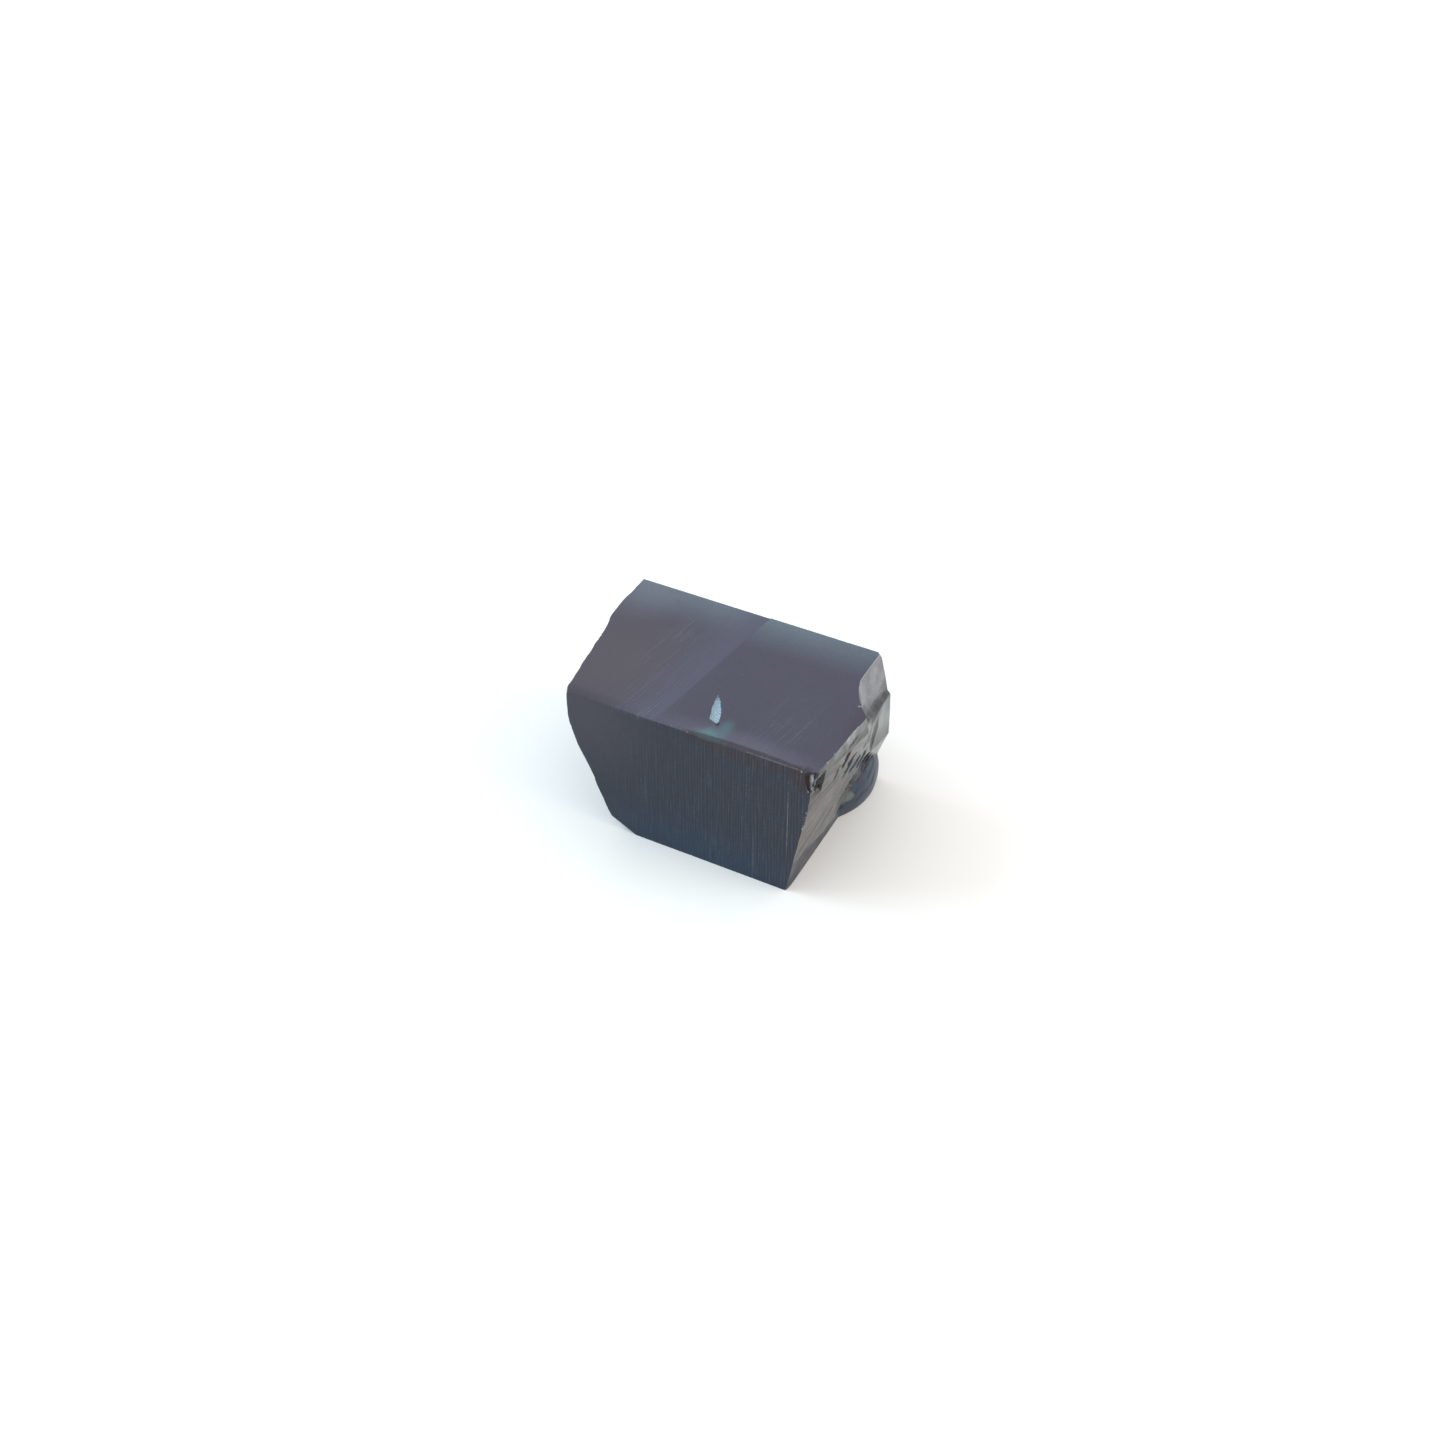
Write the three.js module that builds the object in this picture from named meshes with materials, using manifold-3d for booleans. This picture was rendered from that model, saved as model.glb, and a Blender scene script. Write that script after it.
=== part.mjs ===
import * as THREE from 'three';
import { mergeVertices } from 'three/addons/utils/BufferGeometryUtils.js';
import Module from 'manifold-3d';

// A rough block of alexandrite: a bar of dark crystal sawn flat on its front, back, top and base,
// broken across at its right end and leaning inwards, unpolished, at its left end.
// Millimetres, +X along the bar, +Y away from the front face, +Z up, origin under the middle of the block.
// Until the last step, places are measured from the lower front right corner:
// x to the right, y back from the front face, z up from the base.

const wasm = await Module();
wasm.setup();

// Sawn bar, a little longer than the block that is left of it
const depth = 12.15;
const height = 10.2;
const barLeft = -19;
const barRight = 4;
const margin = 0.6;

// Top face: the left-hand saw pass ran a little deeper than the right-hand one
const passDrop = 0.05;
const passFrontX = -8.9;
const passBackX = -7.25;

// Right end: the facets of one stepped, shell-like break. Each gives the x of its surface:
// lean is its slope up the stone and spread its slope towards the back.
const lowerFacet = { lean: 0.176, twist: 0.012 };
const footFacet = { x: 0.12, lean: 0.06, turnY: 0.35 };
const upperFacet = { x: 1.72, spread: 0.075, lean: 0.02 };
const backFacet = { x: 1.44, startY: 9.5, spread: 0.25, lean: 0.03 };
const scoop = { x: 0.43, startY: 9.7, curl: 0.13, lean: 0.28 };
const cornerNick = { x: 1.12, spread: 2.2, lean: 0.22 };
const lobe = { x: 1.16, y: 10.3, z: 0.95, narrowY: 0.11, narrowZ: 0.15 };

// Left end: an upright upper band over a face that leans inwards to the base, with shallow hollows
// and a chip at the front of its lower and upper edges
const leftUpright = { x: -15.05, spread: 0.18, endY: 8.3 };
const leftSlope = { x: -11.85, spread: 0.12, lean: 0.425 };
const leftHollows = [
  { y: 3.4, z: 4.6, radius: 3.4, deep: 0.22 },
  { y: 9.2, z: 5.4, radius: 3.8, deep: 0.32 },
  { y: 6.1, z: 9.3, radius: 1.6, deep: 0.12 },
  { y: 10.6, z: 1.4, radius: 2.6, deep: 0.28 },
];
const baseChip = { x: -10.5, spread: 0.45, lean: 1.89 };
const topChip = { x: -14.4, spread: 1.5, lean: 1.1 };

// Facets of the two end surfaces
const endSteps = { across: 44, up: 38 };

// Leaf-shaped scar on the top
const flake = { x: -6.15, y: 2.6, long: 2.6, wide: 0.62, deep: 0.09, turnDeg: 116 };
const flakeSteps = { around: 20, across: 14 };

function toSolid(geometry) {
  const plain = geometry.clone();
  plain.deleteAttribute('normal');
  plain.deleteAttribute('uv');
  const merged = mergeVertices(plain, 1e-5);
  const mesh = new wasm.Mesh({
    numProp: 3,
    vertProperties: new Float32Array(merged.attributes.position.array),
    triVerts: new Uint32Array(merged.index.array),
  });
  return new wasm.Manifold(mesh);
}

function toGeometry(solid) {
  const mesh = solid.getMesh();
  const geometry = new THREE.BufferGeometry();
  geometry.setAttribute('position', new THREE.BufferAttribute(mesh.vertProperties, mesh.numProp));
  geometry.setIndex(new THREE.BufferAttribute(mesh.triVerts, 1));
  return geometry;
}

// How far right the break stands at one place: what the innermost of its facets leaves
function rightEnd(y, z) {
  const down = height - z;
  const lower = lowerFacet.lean * z + lowerFacet.twist * z * y;
  const foot = footFacet.x * (1 - Math.exp(-y / footFacet.turnY)) + footFacet.lean * z;
  const bulge = lobe.x - lobe.narrowY * (y - lobe.y) ** 2 - lobe.narrowZ * (z - lobe.z) ** 2;
  const upper = upperFacet.x + upperFacet.spread * y + upperFacet.lean * down;
  const back = backFacet.x + backFacet.spread * Math.max(0, backFacet.startY - y) - backFacet.lean * z;
  const hollow = scoop.x + scoop.curl * Math.max(0, scoop.startY - y) ** 2 + scoop.lean * down;
  const nick = cornerNick.x + cornerNick.spread * y + cornerNick.lean * down;
  return Math.min(Math.max(lower, foot, bulge), upper, back, hollow, nick);
}

// How far left the stone reaches at one place
function leftEnd(y, z) {
  const upright = leftUpright.x - leftUpright.spread * Math.min(y, leftUpright.endY);
  const slope = leftSlope.x - leftSlope.spread * y - leftSlope.lean * z;
  const hollows = leftHollows.map((hollow) => {
    const away = Math.hypot(y - hollow.y, z - hollow.z) / hollow.radius;
    return hollow.deep * Math.max(0, 1 - away ** 2);
  });
  const chippedBase = baseChip.x - baseChip.spread * y - baseChip.lean * z;
  const chippedTop = topChip.x - topChip.spread * y - topChip.lean * (height - z);
  return Math.max(Math.max(upright, slope) + Math.max(...hollows), chippedBase, chippedTop);
}

function sawnBar() {
  const bar = new THREE.BoxGeometry(barRight - barLeft, depth, height);
  bar.translate((barLeft + barRight) / 2, depth / 2, height / 2);
  return toSolid(bar);
}

// What breaks away past one end: a block whose inner side has the shape of the broken face
function endWaste(surface, outerX) {
  const wide = depth + 2 * margin;
  const tall = height + 2 * margin;
  const waste = new THREE.BoxGeometry(1, wide, tall, 1, endSteps.across, endSteps.up);
  const points = waste.attributes.position;
  for (let i = 0; i < points.count; i += 1) {
    const y = points.getY(i) + depth / 2;
    const z = points.getZ(i) + height / 2;
    const isOuter = Math.sign(points.getX(i)) === Math.sign(outerX);
    points.setXYZ(i, isOuter ? outerX : surface(y, z), y, z);
  }
  return toSolid(waste);
}

// The layer taken by the deeper saw pass, left of the slanting line across the top
function deeperPass() {
  const outline = new THREE.Shape([
    new THREE.Vector2(barLeft - margin, -margin),
    new THREE.Vector2(passFrontX, -margin),
    new THREE.Vector2(passBackX, depth + margin),
    new THREE.Vector2(barLeft - margin, depth + margin),
  ]);
  const layer = new THREE.ExtrudeGeometry(outline, { depth: margin, bevelEnabled: false });
  layer.translate(0, 0, height - passDrop);
  return toSolid(layer);
}

function flakeScar() {
  const scar = new THREE.SphereGeometry(1, flakeSteps.around, flakeSteps.across);
  scar.scale(flake.long / 2, flake.wide / 2, flake.deep);
  scar.rotateZ(THREE.MathUtils.degToRad(flake.turnDeg));
  scar.translate(flake.x, flake.y, height);
  return toSolid(scar);
}

function crystalBlock() {
  const cuts = [
    endWaste(rightEnd, barRight + margin),
    endWaste(leftEnd, barLeft - margin),
    deeperPass(),
    flakeScar(),
  ];
  const geometry = toGeometry(cuts.reduce((block, cut) => block.subtract(cut), sawnBar()));
  geometry.computeBoundingBox();
  const middle = geometry.boundingBox.getCenter(new THREE.Vector3());
  geometry.translate(-middle.x, -middle.y, 0);
  return geometry;
}

const crystal = new THREE.MeshStandardMaterial({ color: 0x3a4150, roughness: 0.35, metalness: 0 });
const alexandrite = new THREE.Mesh(crystalBlock(), crystal);
alexandrite.name = 'alexandrite';

const group = new THREE.Group();
group.add(alexandrite);

export default group;
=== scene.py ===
import math

import bmesh
import bpy
import numpy as np
from mathutils import Matrix, Vector


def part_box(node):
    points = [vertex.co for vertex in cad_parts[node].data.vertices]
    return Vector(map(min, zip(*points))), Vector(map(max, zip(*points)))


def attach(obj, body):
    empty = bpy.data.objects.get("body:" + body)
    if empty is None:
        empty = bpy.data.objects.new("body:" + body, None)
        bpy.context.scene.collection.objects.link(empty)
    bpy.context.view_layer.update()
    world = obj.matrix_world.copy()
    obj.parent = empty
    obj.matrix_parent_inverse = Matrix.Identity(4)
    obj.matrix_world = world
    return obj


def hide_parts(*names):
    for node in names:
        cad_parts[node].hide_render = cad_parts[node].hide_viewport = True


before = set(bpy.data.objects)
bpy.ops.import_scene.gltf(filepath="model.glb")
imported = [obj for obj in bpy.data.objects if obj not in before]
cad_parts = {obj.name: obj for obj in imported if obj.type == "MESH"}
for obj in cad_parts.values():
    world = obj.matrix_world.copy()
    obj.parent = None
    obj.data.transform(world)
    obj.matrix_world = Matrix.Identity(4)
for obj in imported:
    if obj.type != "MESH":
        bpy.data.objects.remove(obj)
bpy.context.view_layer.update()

# The stone is a sawn block of rough alexandrite with broken ends. It is made as the real one is:
# a bar, with the waste that the saw and the breaks took away cut off it.
# Shapes are in mm from the block's lower front right corner: x right, y back, z up.

mm = 0.001
cadLow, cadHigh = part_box("alexandrite")
depth = (cadHigh.y - cadLow.y) / mm
height = (cadHigh.z - cadLow.z) / mm

block = {
    "reach": 2.152,          # the broken right end stands this far out past the corner
    "barLeft": -18.5,
    "barRight": 3.5,
    "barSpare": 0.2,         # how far the bar stands out past each sawn face before sawing
    "spare": 0.5,            # how far each cutter goes past the faces beside it
    "wasteThick": 1,         # how far the cut waste goes out past the bar
    "passDrop": 0.05,        # the left saw pass on the top ran this much deeper
    "passFrontX": -8.9,
    "passBackX": -7.25,
    "endStep": 0.05,         # mesh spacing on the broken right end
    "leftStep": 0.09,        # and on the left end
    "crowd": 1.25,           # how much finer the right end's mesh is at its upper front corner
    "markStep": 0.036,       # mesh spacing across the saw marks
    "markRows": 12,          # and rows along them
    "sharpAngle": 28,        # degrees; edges sharper than this stay crisp
}
cornerX = cadHigh.x / mm - block["reach"]
cornerY = cadLow.y / mm
passSlant = (block["passBackX"] - block["passFrontX"]) / depth


def smoothStep(value, start, end):
    t = np.clip((value - start) / (end - start), 0, 1)
    return t * t * (3 - 2 * t)


def softField(u, v, seed, octaves=1):
    # smooth random heights from -1 to 1, about one bump per unit of u and v
    u, v = np.broadcast_arrays(np.asarray(u, float), np.asarray(v, float))
    total = np.zeros(u.shape)
    for octave in range(octaves):
        lattice = np.random.RandomState(seed + octave).uniform(-1, 1, (128, 128))
        a, b = u * 2 ** octave + 37.3 * octave, v * 2 ** octave + 11.9 * octave
        i, j = np.floor(a).astype(int), np.floor(b).astype(int)
        s, t = smoothStep(a - i, 0, 1), smoothStep(b - j, 0, 1)
        near = lattice[i % 128, j % 128] * (1 - s) + lattice[(i + 1) % 128, j % 128] * s
        far = lattice[i % 128, (j + 1) % 128] * (1 - s) + lattice[(i + 1) % 128, (j + 1) % 128] * s
        total += (near * (1 - t) + far * t) * 0.5 ** octave
    return total


# How crystal breaks: steps with a steep side, shell-shaped hollows and long faint streaks.


def pathField(y, z, path, seed, wander=0.06):
    # distance from a wandering path, positive on its left hand, and the share of the way along it
    nearest = np.full(y.shape, 1e9)
    side, along = np.zeros(y.shape), np.zeros(y.shape)
    total = 0
    for (y0, z0), (y1, z1) in zip(path[:-1], path[1:]):
        dy, dz = y1 - y0, z1 - z0
        length = math.hypot(dy, dz)
        t = np.clip(((y - y0) * dy + (z - z0) * dz) / length ** 2, 0, 1)
        offY, offZ = y - y0 - t * dy, z - z0 - t * dz
        away = np.hypot(offY, offZ)
        closer = away < nearest
        nearest = np.where(closer, away, nearest)
        side = np.where(closer, np.sign(dy * offZ - dz * offY) * away, side)
        along = np.where(closer, total + t * length, along)
        total += length
    return side + wander * softField(along * 1.7, along * 0, seed, 3), along / total


def ledge(y, z, path, rise, reach, width, seed, wander=0.06):
    # a step in a break: the surface sinks towards the path from its left hand, then jumps back out
    side, along = pathField(y, z, path, seed, wander)
    taper = smoothStep(along, 0, 0.3) * (1 - smoothStep(along, 0.7, 1))
    return rise * taper * np.exp(-np.maximum(side, 0) / reach) * smoothStep(side, -width, width)


rightBreak = {
    "lowerLean": 0.176, "lowerTwist": 0.012,
    "footX": 0.12, "footLean": 0.1, "footTurn": 0.35,
    "upperX": 1.72, "upperSpread": 0.075, "upperLean": 0.02,
    "backX": 1.42, "backStart": 11.5, "backCurl": 0.018, "backLean": 0.025,
    "backLip": 0.25, "backLipStart": 9.5, "backLipRise": (6.5, 9.5),
    "scoopX": 0.43, "scoopStart": 9.7, "scoopCurl": 0.13, "scoopLean": 0.28,
    "nickX": 1.12, "nickSpread": 2.2, "nickLean": 0.22,
    "cornerX": 0.24, "cornerLean": 0.9,
    "lobeX": 1.16, "lobeY": 10.3, "lobeZ": 0.95, "lobeNarrowY": 0.11, "lobeNarrowZ": 0.15,
    "lobeBlend": 0.3, "lobeFade": (5, 8),
    "upperRipple": 0.02, "backRipple": 0.03, "scoopRipple": 0.012,
    "streak": 0.034,
    "streakFrom": (10.5, 6.6, 31),      # the (y, z) spot that the streaks fan out from, and their seed
    "ledges": [   # (y, z) path with the sinking side on its left, how far it jumps, sinks back and spreads
        ([(6.2, 9.8), (7.2, 8.6), (8.2, 7.8), (9.6, 7.42), (13.5, 7.37)], 0.34, 1.6, 0.17),
        ([(8.6, 4.9), (9.5, 5.2), (10.1, 6.1), (9.9, 7.2)], 0.12, 1.2, 0.16),
        ([(7.0, 6.7), (7.9, 6.3), (9.1, 5.8)], 0.1, 0.9, 0.1),
        ([(4.4, 6.0), (5.4, 7.0), (5.8, 7.9)], 0.08, 0.8, 0.05),
        ([(5.4, 5.7), (6.4, 5.9), (7.1, 6.5)], 0.09, 0.9, 0.05),
        ([(6.9, 4.9), (7.6, 5.2), (8.2, 5.9)], 0.12, 0.7, 0.06),
        ([(7.7, 3.9), (8.6, 4.2), (9.2, 4.9)], 0.22, 0.6, 0.06),
        ([(8.7, 3.0), (9.4, 3.4), (9.9, 4.2)], 0.22, 0.6, 0.06),
        ([(9.4, 2.4), (10.3, 2.5), (11.2, 2.9)], 0.18, 0.6, 0.06),
        ([(3.7, 9.25), (4.5, 9.32), (5.3, 9.55)], 0.06, 0.7, 0.04),
        ([(3.1, 7.1), (3.4, 7.8), (3.4, 8.6)], 0.05, 0.7, 0.04),
        ([(4.0, 7.3), (4.2, 8.0), (4.4, 9.1)], 0.1, 0.6, 0.04),
        ([(6.2, 3.7), (7.3, 2.9), (8.6, 2.35)], 0.34, 0.5, 0.12),
        ([(6.6, 1.0), (7.4, 0.9), (8.4, 1.2), (9.0, 1.9)], 0.12, 0.5, 0.08),
        ([(8.2, 0.5), (9.2, 1.1), (10.1, 1.1), (11.2, 1.9)], 0.07, 0.6, 0.1),
        ([(8.9, 2.2), (9.8, 1.8), (10.8, 2.1), (11.6, 2.7)], 0.06, 0.5, 0.08),
    ],
    "slivers": [  # the comb in the notch under the upper front corner, given as the ledges are
        ([(0.16, 8.4), (0.12, 10.4)], 0.14, 0.4, 0.02),
        ([(0.46, 8.7), (0.4, 10.3)], 0.18, 0.5, 0.02),
        ([(0.76, 8.1), (0.74, 9.9)], 0.12, 0.6, 0.02),
        ([(1.3, 7.8), (1.16, 9.9)], 0.26, 0.6, 0.03),
    ],
    "sliverEdge": 0.03,      # width of the white edge beside each of the first slivers
    "sliverWander": 0.015,   # how far each sliver strays from straight
    "whiteEdgedSlivers": 2,
    "navyPath": [(5.6, 6.5), (7.2, 5.5), (8.3, 4.4), (9.6, 2.9), (11, 2.3)],   # dark seam across the break
    "navyWidth": 0.42,
    "footLine": [(0, 2.5), (2.1, 1.95), (4.4, 1.1), (6.9, 0.5), (13, 0.4)],    # top of the dark foot
    "palePatch": (7.8, 1.5, 0.7, 0.5),                                          # middle (y, z), half sizes
}

leftBreak = {
    "uprightX": -15.05, "uprightSpread": 0.18, "uprightEnd": 8.3,
    "slopeX": -11.85, "slopeSpread": 0.12, "slopeLean": 0.425,
    "hollows": [  # middle (y, z), radius, depth
        (3.4, 4.6, 3.4, 0.22), (9.2, 5.4, 3.8, 0.32), (6.1, 9.3, 1.6, 0.12), (10.6, 1.4, 2.6, 0.28),
    ],
    "ledges": [
        ([(-2, 7.6), (2, 6.9), (6, 7.4), (10, 6.2), (14, 6.0)], 0.2, 2.2, 0.2),
        ([(-2, 3.4), (3, 3.9), (7, 2.9), (11, 3.3), (14, 2.4)], 0.16, 1.8, 0.16),
        ([(3.2, 10.8), (4.6, 8.9), (7.2, 7.9), (10.4, 8.3)], 0.12, 1.4, 0.14),
        ([(5.5, 5.4), (8.5, 4.4), (12, 4.6), (15, 4.2)], 0.14, 1.3, 0.12),
    ],
    "streak": 0.035,
    "streakFrom": (14, 10, 57),
    "ripple": 0.06,
    "baseChipX": -10.5, "baseChipSpread": 0.45, "baseChipLean": 1.89,
    "topChipX": -14.75, "topChipSpread": 1.5, "topChipLean": 1.1,
}


def streakField(y, z, fromY, fromZ, seed):
    # faint streaks that fan out over a break from one spot
    angle, reach = np.arctan2(z - fromZ, fromY - y), np.hypot(z - fromZ, fromY - y)
    return softField(angle * 8, reach * 0.14, seed, 3) * smoothStep(reach, 1.5, 5)


def rightFacets(y, z):
    # how far right each facet of the break stands, and how far the lobe swells past the lower one
    s = rightBreak
    down = height - z
    lower = s["lowerLean"] * z + s["lowerTwist"] * z * y
    foot = s["footX"] * (1 - np.exp(-np.maximum(y, 0) / s["footTurn"])) + s["footLean"] * z
    flat = np.maximum(lower, foot)
    bulge = s["lobeX"] - s["lobeNarrowY"] * (y - s["lobeY"]) ** 2 - s["lobeNarrowZ"] * (z - s["lobeZ"]) ** 2
    blend = s["lobeBlend"] * smoothStep(y, *s["lobeFade"])
    below = 0.5 * (flat + bulge + np.sqrt((flat - bulge) ** 2 + blend ** 2))
    below = below - 0.5 * blend * np.exp(-np.abs(flat - bulge) / s["lobeBlend"])
    streaks = s["streak"] * streakField(y, z, *s["streakFrom"])
    below = below + streaks * smoothStep(z, 0.1, 1) * smoothStep(flat - bulge, 0, 0.25)
    upper = s["upperX"] + s["upperSpread"] * y + s["upperLean"] * down
    upper = upper + s["upperRipple"] * softField(y * 0.9, z * 1.6, 17, 2)
    back = s["backX"] + s["backCurl"] * np.maximum(0, s["backStart"] - y) ** 2 - s["backLean"] * z
    back = back + s["backLip"] * np.maximum(0, s["backLipStart"] - y) * smoothStep(z, *s["backLipRise"])
    back = back + s["backRipple"] * softField(y * 0.6, z * 0.6, 41, 2) * smoothStep(down, 0, 1)
    scoop = s["scoopX"] + s["scoopCurl"] * np.maximum(0, s["scoopStart"] - y) ** 2 + s["scoopLean"] * down
    scoop = scoop + s["scoopRipple"] * softField(y * 1.1, z * 0.3, 47, 2) * smoothStep(down, 0, 1)
    nick = s["nickX"] + s["nickSpread"] * y + s["nickLean"] * down
    corner = s["cornerX"] + s["cornerLean"] * (down + depth - y)
    return {"below": below, "upper": upper, "back": back, "scoop": scoop, "nick": nick, "corner": corner,
            "onLobe": bulge - flat}


def sliverField(y, z, number):
    return pathField(y, z, rightBreak["slivers"][number][0], 200 + number, rightBreak["sliverWander"])


def rightEnd(y, z):
    facets = rightFacets(y, z)
    x = np.minimum.reduce([facets[name] for name in ("below", "upper", "back", "scoop", "nick", "corner")])
    for number, (path, rise, sink, width) in enumerate(rightBreak["ledges"]):
        x = x - ledge(y, z, path, rise, sink, width, 100 + 7 * number)
    for number, (path, rise, sink, width) in enumerate(rightBreak["slivers"]):
        x = x - ledge(y, z, path, rise, sink, width, 200 + number, rightBreak["sliverWander"])
    return x


rightPaint = {
    "ragged": 0.12,              # how ragged the borders between the finishes are
    "frostAndLightEdge": (-0.2, 0.5),    # each edge: where the finish starts to change and where that ends, mm
    "frostAndLightStreaks": 0.3,
    "footEdge": (-0.4, 0.5),
    "lobeEdge": (-0.12, 0.2),
    "notchEdge": (0, 0.06),
    "seamDark": 0.65, "seamEdge": 2.2,      # how dark the seam is, and its soft edge in seam widths
    "paleEdge": (0.75, 1.2),                # in half sizes of the patch
    "rimHighlightEdge": (-0.02, 0.04), "rimHighlightDrop": 0.01, "rimHighlightRagged": 0.6,    # painted highlight along the rim under the top
    # painted highlight along the scoop's upper rim
    "scoopHighlightEdge": (0.03, 0.1), "scoopHighlightStrength": 0.7,
}


def rightShares(y, z):
    # how much frost and painted light, deep crystal, and painted highlight and white edge the right break
    # has:
    # clear glassy break below; frosted break above, painted paler as well for the light it reflects and lets
    # through; deep dark crystal at the foot, lobe, seam and notch; painted highlights along the rims; and
    # white edges beside the first slivers
    s, paint = rightBreak, rightPaint
    facets = rightFacets(y, z)
    above = np.minimum.reduce([facets[name] for name in ("upper", "back", "scoop", "corner")])
    ragged = paint["ragged"] * softField(y * 1.5, z * 1.5, 77, 3)
    py, pz, halfY, halfZ = s["palePatch"]
    pale = np.hypot((y - py) / halfY, (z - pz) / halfZ) + 3 * ragged
    pale = 1 - smoothStep(pale, *paint["paleEdge"])
    # the upper facets: frosted, and painted paler for the light they reflect and let through
    frostAndLight = smoothStep(facets["below"] - above + ragged, *paint["frostAndLightEdge"])
    streaks = paint["frostAndLightStreaks"] * streakField(y, z, *s["streakFrom"])
    frostAndLight = np.clip(frostAndLight + streaks * (1 - frostAndLight), 0, 1)
    footTop = np.interp(y, [spot[0] for spot in s["footLine"]], [spot[1] for spot in s["footLine"]])
    foot = 1 - smoothStep(z - footTop - ragged, *paint["footEdge"])
    lobe = smoothStep(facets["onLobe"] - ragged, *paint["lobeEdge"])
    seam, _ = pathField(y, z, s["navyPath"], 83)
    seam = 1 - smoothStep(np.abs(seam) - 2 * ragged, 0, paint["seamEdge"] * s["navyWidth"])
    seam = paint["seamDark"] * seam
    notch = smoothStep(np.minimum(above, facets["below"]) - facets["nick"], *paint["notchEdge"])
    deepShare = np.maximum.reduce([foot, lobe, seam, notch]) * (1 - pale)
    down = height - z
    # painted highlights: a thin line along the rim under the top, and one along the scoop's upper rim
    rim = smoothStep(paint["rimHighlightRagged"] * ragged + paint["rimHighlightDrop"] - down, *paint["rimHighlightEdge"])
    scoopRimHighlight = paint["scoopHighlightStrength"] * (1 - smoothStep(down, *paint["scoopHighlightEdge"]))
    highlightAndWhiteEdge = np.maximum(rim * (facets["upper"] <= above), scoopRimHighlight * (facets["scoop"] <= above))
    for number in range(s["whiteEdgedSlivers"]):
        side, along = sliverField(y, z, number)
        edge = smoothStep(-side, 0, 0.02) * (1 - smoothStep(-side, s["sliverEdge"], 2 * s["sliverEdge"]))
        highlightAndWhiteEdge = np.maximum(highlightAndWhiteEdge, edge * smoothStep(along, 0.05, 0.3) * (1 - smoothStep(along, 0.7, 0.9)))
    return np.maximum(frostAndLight * (1 - seam), pale), deepShare, highlightAndWhiteEdge


def leftEnd(y, z):
    s = leftBreak
    upright = s["uprightX"] - s["uprightSpread"] * np.minimum(y, s["uprightEnd"])
    slope = s["slopeX"] - s["slopeSpread"] * y - s["slopeLean"] * z
    hollows = np.zeros(np.broadcast(y, z).shape)
    for cy, cz, radius, deep in s["hollows"]:
        away = np.hypot(y - cy, z - cz) / radius
        hollows = np.maximum(hollows, deep * np.maximum(0, 1 - away ** 2))
    chippedBase = s["baseChipX"] - s["baseChipSpread"] * y - s["baseChipLean"] * z
    chippedTop = s["topChipX"] - s["topChipSpread"] * y - s["topChipLean"] * (height - z)
    x = np.maximum(upright, slope) + hollows + s["ripple"] * softField(y * 0.7, z * 0.7, 51, 3)
    x = x + s["streak"] * streakField(y, z, *s["streakFrom"])
    for number, (path, rise, sink, width) in enumerate(s["ledges"]):
        x = x + ledge(y, z, path, rise, sink, width, 300 + 7 * number)
    return np.maximum.reduce([x, chippedBase, chippedTop])


leftPaint = {
    "frostAndLight": 0.35,
    "broad": 0.3,            # slow swings of the frosting
    "frostAndLightStreaks": 0.4,
    "deep": 0.7,
    "deepEdge": (-0.5, 5),   # heights where it is deepest and where that ends
}


def leftShares(y, z):
    # frosted along the streaks, deeper towards the base, with no painted highlight and no white edge
    paint = leftPaint
    streaks = streakField(y, z, *leftBreak["streakFrom"])
    broad = softField(y * 0.22, z * 0.22, 63)
    frostAndLight = paint["frostAndLight"] + paint["broad"] * broad + paint["frostAndLightStreaks"] * streaks
    deepShare = paint["deep"] * (1 - smoothStep(z + broad, *paint["deepEdge"]))
    return np.clip(frostAndLight, 0, 1), deepShare, 0 * z


sawMarks = {
    "pitch": 0.29,           # distance between the main marks
    "deep": 0.008,           # of the main marks
    "waveDeep": 0.012,       # slow waves of the blade
    "fineShare": 0.7,        # fine scratches, against the main marks
    "frontWorn": 0.35,       # marks on the front's smooth left part, against the full depth
    "frontGains": 0.65,      # and what they gain on the way to its right part
    "frontFade": (-10, -4),
    "topShare": 0.2,         # marks on the top, against the front
    "bandGains": 0.3,        # and what they gain in the band beside the slanting line
    "bandFade": (-14, -11),
    "baseShare": 0.6,
}


def markDepth(across, along, seed):
    # ragged grooves side by side, each nearly the same all the way along
    s = sawMarks
    sway = 3 * softField(across * 0.9, along * 0.05, seed)
    groove = 0.5 + 0.5 * np.cos(across / s["pitch"] * 2 * math.pi + sway)
    strength = 0.6 + 0.4 * softField(across * 1.9, along * 0.12, seed + 5)
    fine = np.abs(softField(across * 9, along * 0.2, seed + 9, 2))
    wave = 0.5 + 0.5 * softField(across * 0.45, along * 0.1, seed + 13)
    return s["deep"] * (groove * strength + s["fineShare"] * fine) + s["waveDeep"] * wave


def setInputs(tree, made, inputs):
    for name, value in inputs.items():
        if isinstance(value, bpy.types.NodeSocket):
            tree.links.new(value, made.inputs[name])
        else:
            made.inputs[name].default_value = value
    return made.outputs


def addNode(tree, kind, inputs=None, **settings):
    made = tree.nodes.new("ShaderNode" + kind)
    for name, value in settings.items():
        setattr(made, name, value)
    return setInputs(tree, made, inputs or {})


def doMath(tree, operation, a, b=0.0, c=0.0):
    return addNode(tree, "Math", {0: a, 1: b, 2: c}, operation=operation)[0]


def blendColour(tree, amount, a, b):
    return addNode(tree, "Mix", {0: amount, 6: a, 7: b}, data_type="RGBA")[2]


def ramp(tree, value, low, high, outLow=0.0, outHigh=1.0):
    inputs = {0: value, 1: low, 2: high, 3: outLow, 4: outHigh}
    return addNode(tree, "MapRange", inputs, interpolation_type="SMOOTHSTEP")[0]


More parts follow.
